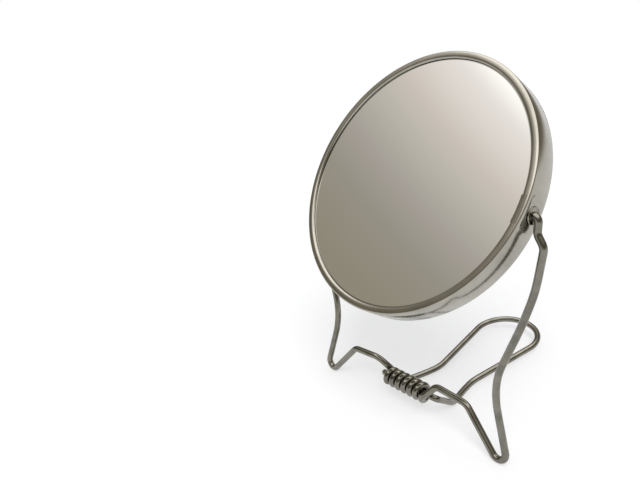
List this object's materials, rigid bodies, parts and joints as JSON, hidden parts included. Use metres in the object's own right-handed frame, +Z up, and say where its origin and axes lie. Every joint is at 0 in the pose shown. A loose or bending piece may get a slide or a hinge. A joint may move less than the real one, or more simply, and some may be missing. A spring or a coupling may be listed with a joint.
{
  "type": "standing mirror",
  "caption": "Round double-sided mirror that tilts between the arms of a bent wire fork; a hinged wire loop is its rear leg on a table and its hanger when swung down.",
  "frame": {"origin": "on the table, under the middle of the part's box", "axes": "+X along the mirror's pivots to the right, front -Y, +Z up"},
  "size_m": [0.1696, 0.1514, 0.2033],
  "materials": {
    "rim_band": "polished",
    "seam_plate": "polished",
    "right_eyelet": "polished",
    "left_eyelet": "polished",
    "front_glass": "silvered glass",
    "backing_card": "plain",
    "rear_glass": "silvered glass, slightly dished",
    "spacer_ring": "plain",
    "fork_wire": "polished",
    "loop_wire": "polished"
  },
  "bodies": {
    "stand": {"fork_wire": "fork_wire"},
    "mirror": {"rim_band": "rim_band", "seam_plate": "seam_plate", "right_eyelet": "right_eyelet", "left_eyelet": "left_eyelet", "front_glass": "front_glass", "backing_card": "backing_card", "rear_glass": "rear_glass", "spacer_ring": "spacer_ring"},
    "loop": {"loop_wire": "loop_wire"}
  },
  "joints": [
    {"name": "mirror_tilt", "type": "hinge", "parent": "stand", "child": "mirror", "pos_m": [0, -0.02856, 0.13489], "axis": [1, 0, 0], "continuous": true},
    {"name": "loop_swing", "type": "hinge", "parent": "stand", "child": "loop", "pos_m": [0, -0.04326, 0.01608], "axis": [1, 0, 0], "range_deg": [-92.8, 40]}
  ]
}
